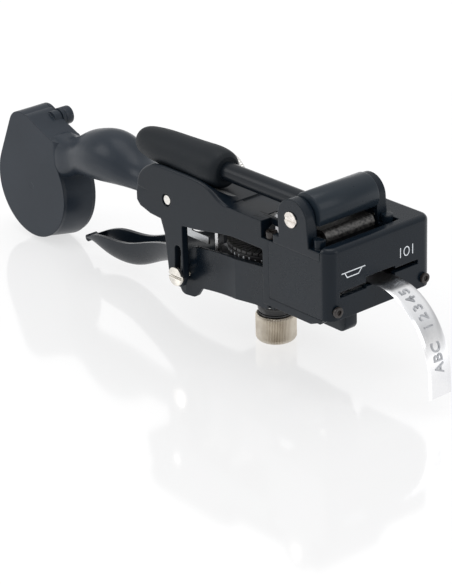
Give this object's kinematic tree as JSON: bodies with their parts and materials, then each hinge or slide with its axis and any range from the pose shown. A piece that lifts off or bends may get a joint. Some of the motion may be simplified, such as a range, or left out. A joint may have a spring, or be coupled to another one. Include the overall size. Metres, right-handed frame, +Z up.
{
  "type": "embossing label maker",
  "caption": "Hand-held tool that embosses characters in metal tape: squeeze lever, character wheel with knob, feed wheel, cutter lever and a drum magazine in the handle.",
  "frame": {"origin": "on the surface the tool stands on, under the middle of its length and width", "axes": "+X forward, out of the nose where the tape leaves; +Y to the user's left, away from the cutter lever's grip; +Z up"},
  "size_m": [0.2782, 0.06, 0.0864],
  "materials": {
    "housing_enamel": "semi-gloss blue-black enamel on a casting",
    "cover_enamel": "gloss blue-black enamel on drawn steel",
    "bracket_enamel": "gloss blue-black enamel",
    "handle_enamel": "semi-gloss blue-black enamel on a casting",
    "foot_enamel": "gloss blue-black enamel",
    "lever_enamel": "semi-gloss blue-black enamel on pressed steel",
    "lid_enamel": "semi-gloss blue-black enamel",
    "hub_enamel": "gloss black enamel",
    "tool_steel": "ground tool steel",
    "plate_steel": "zinc-plated steel",
    "pin_steel": "ground steel",
    "shaft_nickel": "nickel-plated steel",
    "screw_black": "black-oxide steel",
    "screw_nickel": "nickel-plated steel",
    "lens_clear": "clear",
    "tape_metal": "bright metal tape",
    "spring_steel": "bright spring steel",
    "wheel_black": "black with white-filled characters",
    "collar_black": "black moulding",
    "knob_nickel": "nickel plate over a fine straight knurl",
    "feed_nickel": "nickel plate over a knurl",
    "rod_steel": "zinc-plated steel",
    "grip_rubber": "matte black rubber",
    "ram_bronze": "yellow-passivated steel",
    "block_steel": "dark phosphated steel",
    "reel_plastic": "pale moulding"
  },
  "bodies": {
    "housing": {"main_frame": "housing_enamel", "front_cover": "cover_enamel", "ear_bracket": "bracket_enamel", "handle_casting": "handle_enamel", "foot_block": "foot_enamel", "die_plate": "tool_steel", "stripper_plate": "plate_steel", "wheel_bridge": "plate_steel", "upper_anvil": "tool_steel", "tape_guide": "plate_steel", "jaw_pivot_pin": "pin_steel", "feed_cross_pin": "pin_steel", "lever_shaft": "shaft_nickel", "ear_set_pin": "pin_steel", "cover_screws": "screw_black", "corner_screws": "screw_black", "handle_screws": "screw_black", "window_lens": "lens_clear", "reel_spindle": "pin_steel", "tape_supply": "tape_metal", "embossed_strip": "tape_metal"},
    "lever_body": {"squeeze_lever": "lever_enamel", "strap_screws": "screw_nickel", "emboss_striker": "tool_steel", "feed_pawl": "spring_steel", "lever_spring": "spring_steel"},
    "wheel_body": {"character_wheel": "wheel_black", "wheel_axle": "pin_steel", "knob_collar": "collar_black", "selector_knob": "knob_nickel"},
    "feed_body": {"feed_wheel": "feed_nickel", "feed_ratchet": "feed_nickel"},
    "cutter_lever_body": {"lever_hub": "hub_enamel", "lever_rod": "rod_steel", "lever_grip": "grip_rubber"},
    "ram_body": {"ram_crown": "ram_bronze", "cutter_block": "block_steel", "cutter_blade": "tool_steel", "tab_former": "tool_steel", "hole_punch": "tool_steel", "ram_springs": "spring_steel"},
    "reel_body": {"reel_core": "reel_plastic", "tape_coil": "tape_metal"},
    "lid_body": {"magazine_lid": "lid_enamel", "lid_knuckle": "lid_enamel"}
  },
  "joints": [
    {"name": "squeeze_hinge", "type": "hinge", "parent": "housing", "child": "lever_body", "pos_m": [0.08059, 0, 0.0281], "axis": [0, 1, 0], "range_deg": [0, 7.5], "stiffness_Nm_per_rad": 6, "springref_deg": -8.59, "deforming": ["lever_spring"]},
    {"name": "wheel_spin", "type": "hinge", "parent": "housing", "child": "wheel_body", "pos_m": [0.04359, 0, 0.0266], "axis": [0, 0, 1], "continuous": true},
    {"name": "feed_spin", "type": "hinge", "parent": "housing", "child": "feed_body", "pos_m": [0.00899, 0, 0.0599], "axis": [0, 1, 0], "continuous": true},
    {"name": "cutter_hinge", "type": "hinge", "parent": "housing", "child": "cutter_lever_body", "pos_m": [0.08509, 0, 0.0736], "axis": [0, 1, 0], "range_deg": [0, 75], "stiffness_Nm_per_rad": 0.035, "springref_deg": -35.81},
    {"name": "ram_slide", "type": "slide", "parent": "housing", "child": "ram_body", "axis": [0, 0, -1], "range_m": [0, 0.0063], "deforming": ["ram_springs"]},
    {"name": "reel_spin", "type": "hinge", "parent": "housing", "child": "reel_body", "pos_m": [-0.11261, 0, 0.0265], "axis": [0, 1, 0], "continuous": true},
    {"name": "lid_hinge", "type": "hinge", "parent": "housing", "child": "lid_body", "pos_m": [-0.10941, 0, 0.0564], "axis": [0, 1, 0], "range_deg": [0, 110]}
  ],
  "couplings": [
    {"joint": "ram_slide", "follows": "cutter_hinge", "m_per_rad": 0.0048}
  ]
}
